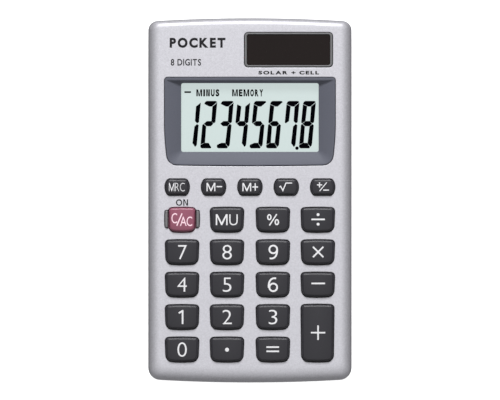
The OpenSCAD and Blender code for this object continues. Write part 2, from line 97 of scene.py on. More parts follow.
# Case
PARTING_Z = 3.6
END_BULGE = 0.68
END_CHORD = CASE_W - 8
END_R = ((END_CHORD / 2) ** 2 + END_BULGE**2) / (2 * END_BULGE)
TOP_CORNER_R = 2.7
BOTTOM_CORNER_R = 3.5
ROUND_SIDE, ROUND_TOP, ROUND_BOTTOM, ROUND_DEPTH = 3.4, 2.0, 4.5, 3.2
FRONT_WALL = 1.5
REAR_STEP = 0.15
REAR_WALL = 2.15
REAR_ROUND, REAR_ROUND_H = 1.6, 1.4
REAR_FLOOR = 1.2
TONGUE_GAP, TONGUE_H = 0.05, 1.0
HOLE_LIP_R, HOLE_MARGIN = 0.16, 0.05
EDGE = 0.12  # bevel of the shells' sharp edges
OVERLAP = 0.1  # how far two solids of one piece run into each other
FINE_STEP = 0.4
SCREW_BOSS_R, SCREW_BORE_R, SCREW_BOSS_LOW, SCREW_RELIEF_R = 1.5, 0.75, 2, 1.6
BOARD_BOSS_R, BOARD_BORE_R, BOARD_RELIEF_R = 1.2, 0.6, 1.36
RECESS_R, RECESS_H, SCREW_HOLE_R, POST_R, POST_TOP = 1.65, 1.0, 1.0, 2.1, 2.0
LABEL_W, LABEL_L, LABEL_Y, LABEL_R, LABEL_H, LABEL_SLOPE = 36, 22, 4, 1.5, 0.2, 0.1

# Keys
KEY_GAP = 0.16
SHADOW_GAP_DROP = 0.12  # extra room in a key's hole on its lower side; its dark gap is painted shade that stands in for the key's shadow
KEY_FLANGE = 0.4
KEY_FLANGE_LOW, KEY_FLANGE_HIGH = 6.0, 6.8
KEY_TOP_R, KEY_BOTTOM_R, CLEAR_KEY_BOTTOM_R = 1.0, 1.8, 1.45
KEY_TAPER, KEY_TOP_ARCH, KEY_BOTTOM_ARCH = 0.3, 0.1, 0.12
BEZEL_ARCH = 0.2
PILL_ARC_R, PILL_ARC_X, PILL_FILLET = 3.15, 0.22, 1.0
PLUNGER_R = 1.6
INK_H = 0.02
CAP_TOP = KEY_TOP - INK_H

# Display and solar panel
BEZEL_FLANGE = 0.8
BEZEL_CORNER_R = 0.8
BEZEL_FOOT_R = 2.9
BEZEL_FOOT_INSET = 0.57
VIEW_DROP = 0.15
BEZEL_BEND_Y = 22.0
SIDE_STEPS = 8
PANE_OVER = 1.0
VIEW_R = 0.6
SOLAR_R, SOLAR_PANE_R = 1, 0.5


# -------------------- outlines, as lists of (x, y)

LEAST_R = 0.1  # of a key's corner when its outline is drawn in


def arc(x, y, r, start, end, steps=8):
    """Points along an arc, both ends included."""
    angles = [math.radians(start + (end - start) * i / steps) for i in range(steps + 1)]
    return [(x + r * math.cos(a), y + r * math.sin(a)) for a in angles]


def circle(x, y, r, steps=32):
    return arc(x, y, r, 0, 360, steps)[:-1]


def arch(half, y, rise, steps=6):
    """Points of a shallow arch from x = half to x = -half, both ends left out."""
    xs = [half * (1 - 2 * i / steps) for i in range(1, steps)]
    return [(x, y + rise * (1 - (x / half) ** 2)) for x in xs]


def turned(points):
    """The points turned by half a turn."""
    return [(-x, -y) for x, y in points]


def moved(points, x, y):
    return [(px + x, py + y) for px, py in points]


def case_end(half_w, half_l, r):
    """Half of the case outline: one end with its two corners, from the right side to the left."""
    slope = math.degrees(math.asin((half_w - r) / (END_R - r)))
    y = half_l - END_R + math.sqrt((END_R - r) ** 2 - (half_w - r) ** 2)
    bow = arc(0, half_l - END_R, END_R, 90 - slope, 90 + slope, 16)
    return arc(half_w - r, y, r, 0, 90 - slope) + bow[1:-1] + arc(r - half_w, y, r, 90 + slope, 180)


def case_outline(side, top=None, bottom=None):
    """Whole case outline, set in from the sides, the display end and the key end."""
    top = side if top is None else top
    bottom = side if bottom is None else bottom
    half_w, half_l = CASE_W / 2 - side, CASE_L / 2
    upper = case_end(half_w, half_l - top, TOP_CORNER_R - side / 2)
    lower = case_end(half_w, half_l - bottom, BOTTOM_CORNER_R - side / 2)
    return upper + turned(lower)


def rounded_rect(x, y, w, h, r):
    dx, dy = w / 2 - r, h / 2 - r
    corners = ((dx, dy, 0), (-dx, dy, 90), (-dx, -dy, 180), (dx, -dy, 270))
    return [p for cx, cy, turn in corners for p in arc(x + cx, y + cy, r, turn, turn + 90)]


def shield_outline(w, h, foot_r, grow):
    """Large key: small corners on top, large corners below, slightly arched ends."""
    half_w, half_h = w / 2 + grow, h / 2 + grow
    foot_w = half_w - KEY_TAPER / 2
    rt, rb = max(KEY_TOP_R + grow, LEAST_R), max(foot_r + grow, LEAST_R)
    top_y, foot_y = half_h - KEY_TOP_ARCH, KEY_BOTTOM_ARCH - half_h
    return (
        arc(half_w - rt, top_y - rt, rt, 0, 90)
        + arch(half_w - rt, top_y, KEY_TOP_ARCH)
        + arc(rt - half_w, top_y - rt, rt, 90, 180)
        + arc(rb - foot_w, foot_y + rb, rb, 180, 270)
        + turned(arch(foot_w - rb, -foot_y, KEY_BOTTOM_ARCH))
        + arc(foot_w - rb, foot_y + rb, rb, 270, 360)
    )


def pill_outline(h, grow):
    """Small key: bulging sides, flat top and bottom."""
    half_h, arc_r = h / 2 + grow, PILL_ARC_R + grow
    fillet = max(PILL_FILLET + grow, LEAST_R)
    reach = arc_r - fillet
    turn = math.degrees(math.asin((half_h - fillet) / reach))
    x = PILL_ARC_X + reach * math.cos(math.radians(turn))
    y = half_h - fillet
    side = arc(PILL_ARC_X, 0, arc_r, -turn, turn, 12)[1:-1]
    half = side + arc(x, y, fillet, turn, 90) + arc(-x, y, fillet, 90, 180 - turn)
    return half + turned(half)


def frame_outline(half_w, top_y, rt, side, foot_x, foot_y, rb, rise):
    """Two top corners, sides given from the top down, and two lower corners that turn round foot_y."""
    return (
        arc(half_w - rt, top_y - rt, rt, 0, 90)
        + arc(rt - half_w, top_y - rt, rt, 90, 180)
        + [(-x, y) for x, y in side]
        + arc(rb - foot_x, foot_y, rb, 180, 270)
        + turned(arch(foot_x - rb, rb - foot_y, rise))
        + arc(foot_x - rb, foot_y, rb, 270, 360)
        + side[::-1]
    )


def bezel_outline(grow, top_drop=0.0):
    """Display bezel: square shoulders, sides that draw in, two large lower corners."""
    low, high = node_box("display_bezel")
    half_w = (high.x - low.x) / 2 - BEZEL_FLANGE + grow
    top_y = high.y - BEZEL_FLANGE + grow - top_drop
    rt, rb = max(BEZEL_CORNER_R + grow, 0.3), BEZEL_FOOT_R + grow
    foot_x = half_w - BEZEL_FOOT_INSET
    foot_y = low.y + BEZEL_FLANGE - grow + BEZEL_ARCH + rb
    drop = BEZEL_BEND_Y - foot_y
    steps = [i / SIDE_STEPS for i in range(SIDE_STEPS)]
    side = [(half_w - BEZEL_FOOT_INSET * t**2, BEZEL_BEND_Y - drop * t) for t in steps]
    return frame_outline(half_w, top_y, rt, side, foot_x, foot_y, rb, BEZEL_ARCH)


def view_outline(grow):
    """The opening over the display, with as many points as the bezel's outline."""
    low, high = node_box("display_window")
    half_w = (high.x - low.x) / 2 - PANE_OVER + grow
    top_y, foot_y = high.y - PANE_OVER - VIEW_DROP + grow, low.y + PANE_OVER - grow
    r = VIEW_R + grow
    reach = top_y - foot_y - 2 * r
    side = [(half_w, top_y - r - reach * (i + 4) / (SIDE_STEPS + 5)) for i in range(SIDE_STEPS)]
    return frame_outline(half_w, top_y, r, side, half_w, foot_y + r, r, 0)


def grown(outline, reach):
    """An outline that runs anticlockwise, pushed out by a small amount at every corner."""
    pushed = []
    for before, (x, y), after in zip(outline[-1:] + outline[:-1], outline, outline[1:] + outline[:1]):
        into = Vector((x - before[0], y - before[1])).normalized()
        away = Vector((after[0] - x, after[1] - y)).normalized()
        along = (into + away).normalized()
        pushed.append((x + along.y * reach, y - along.x * reach))
    return pushed


def sides(outline):
    return list(zip(outline, outline[1:] + outline[:1]))


def fine_case_outline(inset):
    """Case outline with points about FINE_STEP apart, as many of them at every inset."""
    fine = []
    for (a, b), (c, d) in zip(sides(case_outline(inset)), sides(case_outline(0))):
        steps = max(1, round(math.dist(c, d) / FINE_STEP))
        fine += [(a[0] + (b[0] - a[0]) * i / steps, a[1] + (b[1] - a[1]) * i / steps) for i in range(steps)]
    return fine


def relieved(outline, places, r):
    """The outline pushed out where it meets a circle at one of the places, so that it runs round it."""
    pushed = []
    for x, y in outline:
        for cx, cy in places:
            away = math.hypot(x - cx, y - cy)
            if away < r:
                x, y = cx + (x - cx) * r / away, cy + (y - cy) * r / away
        pushed.append((x, y))
    return pushed


# -------------------- mesh making


class Shape:
    """Points and faces of one piece, in millimetres."""

    def __init__(self):
        self.points, self.faces = [], []

    def ring(self, outline, z):
        """Adds a closed ring of points at one height and returns their numbers."""
        first = len(self.points)
        self.points += [(x, y, z) for x, y in outline]
        return list(range(first, len(self.points)))

    def bridge(self, a, b):
        """Quads between two rings with as many points each."""
        n = len(a)
        for i in range(n):
            j = (i + 1) % n
            self.faces.append((a[i], a[j], b[j], b[i]))

    def loft(self, rings):
        for a, b in zip(rings, rings[1:]):
            self.bridge(a, b)

    def cap(self, ring):
        self.faces.append(tuple(ring))

    def sheet(self, outer, holes):
        """Flat sheet between an outer ring and the holes in it."""
        loops = [outer] + holes
        numbers = [n for loop in loops for n in loop]
        flat = [[Vector(self.points[n]) for n in loop] for loop in loops]
        for triangle in geometry.tessellate_polygon(flat):
            self.faces.append(tuple(numbers[i] for i in triangle))

    def solid(self, outline, profile):
        """Closed solid from (inset, z) pairs, bottom first, where outline(grow) gives each ring."""
        rings = [self.ring(outline(-inset), z) for inset, z in profile]
        self.loft(rings)
        self.cap(rings[0])
        self.cap(rings[-1])

    def prism(self, outline, low, high):
        self.solid(lambda grow: outline, [(0, low), (0, high)])

    def lathe(self, x, y, profile):
        """Solid of (r, z) pairs turned round an upright axis, closed flat at its first and last pair."""
        rings = [self.ring(circle(x, y, r), z) for r, z in profile]
        self.loft(rings)
        self.cap(rings[0])
        self.cap(rings[-1])

    def tube(self, x, y, r_out, r_in, low, high):
        """Upright tube, open at both ends."""
        corners = ((r_out, low), (r_out, high), (r_in, high), (r_in, low))
        rings = [self.ring(circle(x, y, r), z) for r, z in corners]
        self.loft(rings + rings[:1])


SHARP_ANGLE = 32


def make_piece(name, shape, slot, body=ROOT, replaces=(), finish=None):
    """Turns a Shape into a piece that rides on a body, in its slot's material or in another finish."""
    mesh = bpy.data.meshes.new(name)
    mesh.from_pydata([[c * MM for c in p] for p in shape.points], [], shape.faces)
    work = bmesh.new()
    work.from_mesh(mesh)
    bmesh.ops.remove_doubles(work, verts=work.verts, dist=1e-7)
    bmesh.ops.recalc_face_normals(work, faces=work.faces)
    work.to_mesh(mesh)
    work.free()
    mesh.shade_smooth()
    mesh.set_sharp_from_angle(angle=math.radians(SHARP_ANGLE))
    mesh.materials.append(MATERIALS[finish or slot])
    piece = bpy.data.objects.new(name, mesh)
    bpy.context.scene.collection.objects.link(piece)
    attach(piece, body)
    if replaces:
        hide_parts(*replaces)
    return piece


MITRE_LIMIT = 0.3


class Print(Shape):
    """Thin flat marks, placed from a middle point."""

    def __init__(self, x, y, low, high):
        super().__init__()
        self.x, self.y, self.low, self.high = x, y, low, high

    def patch(self, outline):
        self.prism(moved(outline, self.x, self.y), self.low, self.high)

    def bar(self, x, y, w, h):
        half = [(w / 2, h / 2), (-w / 2, h / 2)]
        self.patch(moved(half + turned(half), x, y))

    def dot(self, x, y, r):
        self.patch(circle(x, y, r, 24))

    def cross(self, x, y, w, h, width, turn=0):
        """Two bars that cross at their middles."""
        a, b, t = w / 2, h / 2, width / 2
        half = [(a, -t), (a, t), (t, t), (t, b), (-t, b), (-t, t)]
        c, s = math.cos(math.radians(turn)), math.sin(math.radians(turn))
        self.patch([(x + c * px - s * py, y + s * px + c * py) for px, py in half + turned(half)])

    def loop(self, x, y, w, h, width):
        """An oval band of one width."""
        outer, inner = (
            [(self.x + x + c * (w / 2 - inset), self.y + y + s * (h / 2 - inset)) for c, s in circle(0, 0, 1)]
            for inset in (0, width)
        )
        rings = [self.ring(outer, z) for z in (self.low, self.high)]
        rings += [self.ring(inner, z) for z in (self.high, self.low)]
        self.loft(rings + rings[:1])

    def stroke(self, points, width):
        """A line of one width along the points, mitred where it bends and square at its ends."""
        left, right = [], []
        for i, (x, y) in enumerate(points):
            before, after = points[max(i - 1, 0)], points[min(i + 1, len(points) - 1)]
            into = Vector((x - before[0], y - before[1])).normalized() if i else None
            away = Vector((after[0] - x, after[1] - y)).normalized() if i < len(points) - 1 else None
            into, away = into or away, away or into
            along = (into + away).normalized()
            reach = width / 2 / max(along.dot(into), MITRE_LIMIT)
            left.append((x - along.y * reach, y + along.x * reach))
            right.append((x + along.y * reach, y - along.x * reach))
        self.patch(left + right[::-1])

    def word(self, text, x, y, w, h, weight=0.0, gap=0.13, even=0.0):
        """Capitals and digits scaled to a box round its middle, gaps and stems in shares of the type size.

        With even above 0 every letter but I and M is squeezed to that width.
        """
        letters, reach = [], 0
        for letter in text:
            if letter != " ":
                letters.append((letter_shape(letter, weight, even), reach))
            reach += gap + (0.2 if letter == " " else letters[-1][0].width)
        scale_x, scale_y = w / (reach - gap), h / (CAP_HEIGHT + 2 * weight)
        for letter, start in letters:
            first = len(self.points)
            for px, py, side in letter.points:
                spot = (self.x + x - w / 2 + (start + px) * scale_x, self.y + y + py * scale_y)
                self.points.append((*spot, self.high if side else self.low))
            self.faces += [tuple(first + i for i in face) for face in letter.faces]


# Letters, in shares of the type size
CAP_HEIGHT, STEM = 0.69, 0.098
DRAWN_W = {"M": 0.7, "N": 0.54}
EVEN_M = 1.6  # an M's width among letters of one even width, in shares of that width


def drawn_letter(letter, weight, even):
    """An M or N drawn from its stems, with more open space than the built-in typeface's."""
    shape = Shape()
    shape.width = (EVEN_M * even if letter == "M" else even) or DRAWN_W[letter] + 2 * weight
    w, h, t = shape.width / 2, CAP_HEIGHT / 2 + weight, STEM + (1.4 if even else 2) * weight
    left = [(-w + t, -h), (-w, -h), (-w, h)]
    if letter == "M":
        notch = [(-w + 1.2 * t, h), (0, -0.5 * h), (w - 1.2 * t, h)]
        outline = left + notch + [(-px, py) for px, py in left[::-1]]
        outline += [(w - t, 0.5 * h), (0.4 * t, -h), (-0.4 * t, -h), (-w + t, 0.5 * h)]
    else:
        diagonal = [(-w + 1.1 * t, h), (w - t, -0.5 * h)]
        outline = left + diagonal + turned(left + diagonal)
    shape.prism(moved(outline, w, 0), 0, 1)
    return shape


def typed_letter(letter, weight, even):
    """Any other letter or digit, in the built-in typeface."""
    shape = Shape()
    curve = bpy.data.curves.new("letter", "FONT")
    curve.body = letter
    curve.offset = weight + (0.01 if even else 0)
    curve.extrude = 0.5
    curve.resolution_u = 4
    holder = bpy.data.objects.new("letter", curve)
    bpy.context.scene.collection.objects.link(holder)
    bpy.context.view_layer.update()
    mesh = bpy.data.meshes.new_from_object(holder.evaluated_get(bpy.context.evaluated_depsgraph_get()))
    bpy.data.objects.remove(holder)
    xs, ys = [v.co.x for v in mesh.vertices], [v.co.y for v in mesh.vertices]
    left, own_w = min(xs), max(xs) - min(xs)
    shape.width = even if even and letter != "I" else own_w
    rise = (max(ys) + min(ys)) / 2 if letter == "+" else CAP_HEIGHT / 2
    squeeze = shape.width / own_w
    shape.points = [((v.co.x - left) * squeeze, v.co.y - rise, int(v.co.z >= 0)) for v in mesh.vertices]
    shape.faces = [tuple(p.vertices) for p in mesh.polygons]
    bpy.data.meshes.remove(mesh)
    return shape


def letter_shape(letter, weight, even=0.0):
    """One letter or digit from x = 0 to its width, middle height at y = 0, its two sides at z = 0 and 1."""
    make = drawn_letter if letter in DRAWN_W else typed_letter
    return make(letter, weight, even)


# -------------------- materials

MATERIALS = {}


class Finish:
    """A material's node tree, written step by step. Textures are placed by object coordinates, in metres."""

    def __init__(self, name):
        self.material = MATERIALS[name] = bpy.data.materials.new(name)
        self.material.use_nodes = True
        self.tree = self.material.node_tree
        self.shader = self.tree.nodes["Principled BSDF"]
        self.place = self.tree.nodes.new("ShaderNodeTexCoord").outputs["Object"]

    def link(self, a, b):
        self.tree.links.new(a, b)

    def noise(self, size_mm, detail=2.0, roughness=0.5):
        node = self.tree.nodes.new("ShaderNodeTexNoise")
        node.inputs["Scale"].default_value = 1 / (size_mm * MM)
        node.inputs["Detail"].default_value = detail
        node.inputs["Roughness"].default_value = roughness
        self.link(self.place, node.inputs["Vector"])
        return node.outputs["Fac"]

    def flakes(self, size_mm):
        """A value from 0 to 1 that is the same all over each small cell."""
        node = self.tree.nodes.new("ShaderNodeTexVoronoi")
        node.inputs["Scale"].default_value = 1 / (size_mm * MM)
        self.link(self.place, node.inputs["Vector"])
        split = self.tree.nodes.new("ShaderNodeSeparateColor")
        self.link(node.outputs["Color"], split.inputs["Color"])
        return split.outputs["Red"]

    def spread(self, value, to_low, to_high, low=0.3, high=0.7):
        """Maps the value from low..high to to_low..to_high."""
        node = self.tree.nodes.new("ShaderNodeMapRange")
        node.inputs["From Min"].default_value = low
        node.inputs["From Max"].default_value = high
        node.inputs["To Min"].default_value = to_low
        node.inputs["To Max"].default_value = to_high
        self.link(value, node.inputs["Value"])
        return node.outputs["Result"]

    def times(self, a, b):
        node = self.tree.nodes.new("ShaderNodeMath")
        node.operation = "MULTIPLY"
        self.link(a, node.inputs[0])
        self.link(b, node.inputs[1])
        return node.outputs["Value"]

    def tinted(self, colour, factor):
        """The colour made lighter or darker by a factor near 1."""
        node = self.tree.nodes.new("ShaderNodeVectorMath")
        node.operation = "SCALE"
        node.inputs[0].default_value = colour
        self.link(factor, node.inputs["Scale"])
        self.link(node.outputs["Vector"], self.shader.inputs["Base Color"])

    def roughen(self, value):
        self.link(value, self.shader.inputs["Roughness"])

    def bump(self, height, strength, depth_mm):
        node = self.tree.nodes.new("ShaderNodeBump")
        node.inputs["Strength"].default_value = strength
        node.inputs["Distance"].default_value = depth_mm * MM
        self.link(height, node.inputs["Height"])
        self.link(node.outputs["Normal"], self.shader.inputs["Normal"])


MOTTLE_MM, MOTTLE = 11, 0.02


def moulded(name, colour, roughness, metallic=0.0, shine=0.5, grain_mm=0.2, grain=0.04, bump=0.3, depth=0.01):
    """Moulded, rolled or printed surface: fine grain and broad mottling in colour, gloss and height."""
    finish = Finish(name)
    fine, broad = finish.noise(grain_mm, 3.0, 0.6), finish.noise(MOTTLE_MM)
    lightness = finish.times(
        finish.spread(fine, 1 - grain, 1 + grain),
        finish.spread(broad, 1 - MOTTLE, 1 + MOTTLE),
    )
    finish.tinted(colour, lightness)
    finish.roughen(finish.spread(fine, roughness * 0.9, roughness * 1.1))
    finish.bump(fine, bump, depth)
    finish.shader.inputs["Metallic"].default_value = metallic
    finish.shader.inputs["Specular IOR Level"].default_value = shine


def metallic_paint(name, colour, roughness):
    """Silver paint: flakes that differ a little in brightness and gloss, over faint cloudiness."""
    finish = Finish(name)
    flakes, cloud = finish.flakes(0.22), finish.noise(0.6, 3.0, 0.6)
    lightness = finish.times(finish.spread(flakes, 0.93, 1.07, 0, 1), finish.spread(cloud, 0.965, 1.035))
    finish.tinted(colour, lightness)
    finish.roughen(finish.spread(flakes, roughness - 0.04, roughness + 0.04, 0, 1))
    finish.bump(cloud, 0.25, 0.006)
    finish.shader.inputs["Metallic"].default_value = 0.66


def see_through(name, tint):
    """Clear sheet with a smeared reflection, from none straight on to its strongest at grazing angles."""
    finish = Finish(name)
    smear = finish.spread(finish.noise(8), 0.05, 0.09)
    nodes = finish.tree.nodes
    clear, gloss = nodes.new("ShaderNodeBsdfTransparent"), nodes.new("ShaderNodeBsdfGlossy")
    facing, mix = nodes.new("ShaderNodeLayerWeight"), nodes.new("ShaderNodeMixShader")
    grazing, share = nodes.new("ShaderNodeMath"), nodes.new("ShaderNodeMath")
    clear.inputs["Color"].default_value = (*tint, 1)
    finish.link(smear, gloss.inputs["Roughness"])
    grazing.operation, share.operation = "POWER", "MULTIPLY"
    grazing.inputs[1].default_value, share.inputs[1].default_value = 5, 0.3
    finish.link(facing.outputs["Facing"], grazing.inputs[0])
    finish.link(grazing.outputs[0], share.inputs[0])
    finish.link(share.outputs[0], mix.inputs["Fac"])
    finish.link(clear.outputs["BSDF"], mix.inputs[1])
    finish.link(gloss.outputs["BSDF"], mix.inputs[2])
    finish.link(mix.outputs["Shader"], nodes["Material Output"].inputs["Surface"])
    nodes.remove(finish.shader)


def display_film(name, colour, painted_glow):
    """Pale film of the display. It reflects a little, and most of its brightness is painted light: a glow
    that stands in for the light the film would reflect and evens out the shade under the bezel's lip.
    """
    finish = Finish(name)
    finish.tinted(colour, finish.spread(finish.noise(9), 0.985, 1.015))
    finish.roughen(finish.spread(finish.noise(0.5), 0.45, 0.55))
    finish.shader.inputs["Specular IOR Level"].default_value = 0.1
    finish.shader.inputs["Emission Color"].default_value = (*colour, 1)
    finish.shader.inputs["Emission Strength"].default_value = painted_glow


metallic_paint("silver_paint", (0.72, 0.715, 0.765), 0.53)
moulded("dark_shell", (0.045, 0.045, 0.05), 0.55, grain_mm=0.25, grain=0.1, bump=0.5, depth=0.02)
moulded("slate_plastic", (0.11, 0.115, 0.142), 0.45, shine=0.12, grain=0.05)
moulded("rim_plastic", (0.17, 0.17, 0.175), 0.42, shine=0.3, grain=0.05)
moulded("key_plastic", (0.0208, 0.02, 0.0256), 0.4, grain=0.1)
moulded("red_key_plastic", (0.25, 0.073, 0.116), 0.34, grain=0.06)
see_through("clear_pane", (0.97, 0.985, 0.985))
moulded("smoked_pane", (0.0125, 0.009, 0.0085), 0.25, shine=0.12, grain_mm=0.6, grain=0.05, bump=0.05)
# The display film's glow is painted light. It stands in for reflected light and fills the shade of the
# bezel's lip.
display_film("lcd_film", (0.12, 0.133, 0.1305), 4.67)
moulded("lcd_glass", (0.6, 0.7, 0.68), 0.1, grain_mm=1, grain=0.02, bump=0.02)
moulded("solar_silicon", (0.02, 0.012, 0.018), 0.2, grain_mm=0.8, grain=0.2, bump=0.05)
moulded("white_plastic", (0.72, 0.72, 0.69), 0.5)
moulded("silicone", (0.66, 0.66, 0.6), 0.6)
moulded("carbon_rubber", (0.012, 0.012, 0.012), 0.8, grain=0.2)
moulded("foam", (0.02, 0.02, 0.02), 0.95, grain_mm=0.4, grain=0.4, bump=1, depth=0.1)
moulded("board_laminate", (0.02, 0.12, 0.05), 0.35, grain_mm=0.5, grain=0.12)
moulded("chip_resin", (0.008, 0.008, 0.009), 0.3, grain_mm=0.4, grain=0.2)
moulded("steel", (0.55, 0.55, 0.56), 0.3, 1, grain_mm=0.1, grain=0.06)
moulded("nickel", (0.62, 0.6, 0.56), 0.2, 1, grain_mm=0.3, grain=0.05)
moulded("capacitor_sleeve", (0.01, 0.02, 0.09), 0.3)
moulded("wire_jacket", (0.35, 0.01, 0.01), 0.45)
moulded("white_ink", (0.76, 0.76, 0.78), 0.45, grain_mm=0.15, grain=0.03, bump=0.2)
moulded("pink_ink", (0.92, 0.66, 0.74), 0.45, grain_mm=0.15, grain=0.03, bump=0.2)
moulded("black_ink", (0.012, 0.012, 0.014), 0.45, shine=0.2, grain_mm=0.15, grain=0.1, bump=0.2)
moulded("lcd_ink", (0.001, 0.001, 0.002), 0.6, shine=0.0, grain_mm=0.3, grain=0.1, bump=0.05)


# -------------------- keys

PILL_KEYS = ("mrc", "m_minus", "m_plus", "root", "sign")
SHIELD_KEYS = tuple("0123456789") + (
    "clear", "mu", "percent", "divide", "multiply", "minus", "plus", "point", "equals",
)  # fmt: skip

# How far in from the outline and how high: a steep wall, a shoulder, a slight slope, then the flat top
CAP_PROFILE = [
    (0, KEY_FLANGE_HIGH), (0.04, 7.9), (0.06, 8.3), (0.1, 8.54), (0.16, 8.72),
    (0.24, 8.86), (0.31, 8.94), (0.37, 8.985), (0.56, 9.06), (0.61, CAP_TOP),
]  # fmt: skip
PILL_BEVEL = 0.9
CAP_SKIN, CAP_HOLLOW_Z = 0.5, 8.2


def key_outline(key, grow):
    """Outline of the key's cap in its place."""
    low, high = node_box("key_" + key)
    spot = middle("key_" + key)
    w, h = high.x - low.x - 2 * KEY_FLANGE, high.y - low.y - 2 * KEY_FLANGE
    if key in PILL_KEYS:
        return moved(pill_outline(h, grow), spot.x, spot.y)
    if key == "clear":
        return moved(shield_outline(high.x - low.x, h, CLEAR_KEY_BOTTOM_R, grow), spot.x, spot.y)
    return moved(shield_outline(w, h, KEY_BOTTOM_R, grow), spot.x, spot.y)


def hole_outline(key, grow):
    """Outline of the key's hole, with a little more room below the key than above it. The wider dark gap
    there is painted shade for the key's shadow.
    """
    y = middle("key_" + key).y
    return [(px, py - SHADOW_GAP_DROP if py < y else py) for px, py in key_outline(key, grow)]


def make_key(key):
    node = "key_" + key
    spot, low = middle(node), node_box(node)[0]
    bevel = PILL_BEVEL if key in PILL_KEYS else 1
    shape = Shape()
    flange = [shape.ring(key_outline(key, KEY_FLANGE), z) for z in (KEY_FLANGE_LOW, KEY_FLANGE_HIGH)]
    cap = [shape.ring(key_outline(key, -inset * bevel), z) for inset, z in CAP_PROFILE]
    hollow = [shape.ring(key_outline(key, -CAP_SKIN), z) for z in (CAP_HOLLOW_Z, KEY_FLANGE_LOW)]
    shape.loft(hollow + flange + cap)
    shape.cap(hollow[0])
    shape.cap(cap[-1])
    shape.prism(circle(spot.x, spot.y, PLUNGER_R), low.z, CAP_HOLLOW_Z + OVERLAP)
    slot = "red_key_plastic" if key == "clear" else "key_plastic"
    make_piece("cap_" + key, shape, slot, node, [node])


for key in PILL_KEYS + SHIELD_KEYS:
    make_key(key)


# -------------------- marks on the keys

STROKE = 0.48
PRINT_STEP = 0.004  # between two marks that cross, so that their tops do not share a plane
DIGIT_H = 4.0
DIGIT_W = 2.64
SIGN_STROKE = 0.44
NARROW_DIGITS = {"3": 2.4, "5": 2.4, "7": 2.45}
DIGIT_ONE = [
    (0.41, -1.97), (0.41, 1.97), (0.02, 1.97), (-1.0, 1.3),
    (-0.76, 0.9), (-0.07, 1.33), (-0.07, -1.97),
]  # fmt: skip
# Centreline of the tail of a 9, which is also a 6 the other way up
TAIL = [
    (1.17, 0.9), (1.19, 0.2), (1.09, -0.45), (0.86, -1.02), (0.5, -1.48),
    (0.03, -1.73), (-0.42, -1.79), (-0.9, -1.74),
]  # fmt: skip


def key_print(key):
    spot = middle("key_" + key)
    return Print(spot.x, spot.y, CAP_TOP, KEY_TOP)


def make_mark(key, mark, ink="white_ink"):
    make_piece("mark_" + key, mark, "white_plastic", "key_" + key, finish=ink)


def make_digits():
    mark = key_print("1")
    mark.patch(DIGIT_ONE)
    make_mark("1", mark)
    for digit in "0234578":
        mark = key_print(digit)
        x, w = 0.14 if digit == "7" else 0.04, NARROW_DIGITS.get(digit, DIGIT_W)
        mark.word(digit, x, 0.02, w, DIGIT_H, weight=-0.011)
        make_mark(digit, mark)

    for digit, side in (("9", 1), ("6", -1)):
        mark = key_print(digit)
        mark.loop(0.1, 0.77 * side, 2.66, 2.62, STROKE)
        mark.high -= PRINT_STEP
        mark.stroke([(side * x, side * y) for x, y in TAIL], STROKE)
        make_mark(digit, mark)


def make_large_key_signs():
    mark = key_print("clear")
    mark.word("C", -2.16, 0.42, 1.6, 2.85)
    mark.stroke([(-1.47, -1.69), (0, 1.75)], 0.34)
    mark.word("A", 0.36, -0.45, 1.85, 2.64)
    mark.word("C", 2.07, -0.45, 1.58, 2.64)
    make_mark("clear", mark, "pink_ink")

    mark = key_print("mu")
    mark.word("M", -1.48, 0, 3.3, 3.05, weight=-0.008)
    mark.word("U", 1.83, 0, 2.35, 3.05, weight=-0.008)
    make_mark("mu", mark)

    mark = key_print("percent")
    mark.loop(-1.0, 0.71, 1.28, 1.74, 0.38)
    mark.loop(1.11, -0.69, 1.28, 1.74, 0.38)
    mark.high -= PRINT_STEP
    mark.stroke([(-0.98, -1.63), (1.09, 1.55)], 0.36)
    make_mark("percent", mark)

    mark = key_print("divide")
    mark.bar(0.06, 0.08, 3.78, SIGN_STROKE)
    mark.dot(0.06, 1.42, 0.41)
    mark.dot(0.06, -1.26, 0.41)
    make_mark("divide", mark)

    mark = key_print("multiply")
    mark.cross(0.08, 0.05, 4.1, 4.1, SIGN_STROKE, turn=45)
    make_mark("multiply", mark)

    mark = key_print("minus")
    mark.bar(0.1, 0.33, 3.8, SIGN_STROKE)
    make_mark("minus", mark)

    mark = key_print("plus")
    mark.cross(0.14, 0.12, 4.05, 4.05, SIGN_STROKE)
    make_mark("plus", mark)

    mark = key_print("point")
    mark.dot(0.02, -0.04, 0.55)
    make_mark("point", mark)

    mark = key_print("equals")
    mark.bar(-0.04, 0.68, 3.55, SIGN_STROKE)
    mark.bar(-0.04, -0.5, 3.55, SIGN_STROKE)
    make_mark("equals", mark)


def make_small_key_signs():
    mark = key_print("mrc")
    mark.word("MRC", -0.08, -0.02, 4.42, 2.35, weight=-0.016, gap=0.1)
    make_mark("mrc", mark)

    mark = key_print("m_minus")
    mark.word("M", -0.72, -0.02, 2.46, 2.35, weight=-0.006)
    mark.bar(1.63, 0.1, 1.58, 0.34)
    make_mark("m_minus", mark)

    mark = key_print("m_plus")
    mark.word("M", -0.87, -0.02, 2.46, 2.35, weight=-0.006)
    mark.cross(1.48, 0, 1.6, 2.05, 0.33)
    make_mark("m_plus", mark)

    mark = key_print("root")
    mark.stroke([(-1.95, -0.02), (-1.6, 0.2), (-0.95, -0.98), (-0.1, 1.1), (1.63, 1.1)], 0.3)
    make_mark("root", mark)

    mark = key_print("sign")
    mark.cross(-0.88, 0.58, 1.45, 1.45, 0.3)
    mark.stroke([(-0.88, -1.16), (1.13, 1.26)], 0.25)
    mark.bar(0.93, -0.88, 1.6, 0.3)
    make_mark("sign", mark)


make_digits()
make_large_key_signs()
make_small_key_signs()


# -------------------- guard beside the clear key

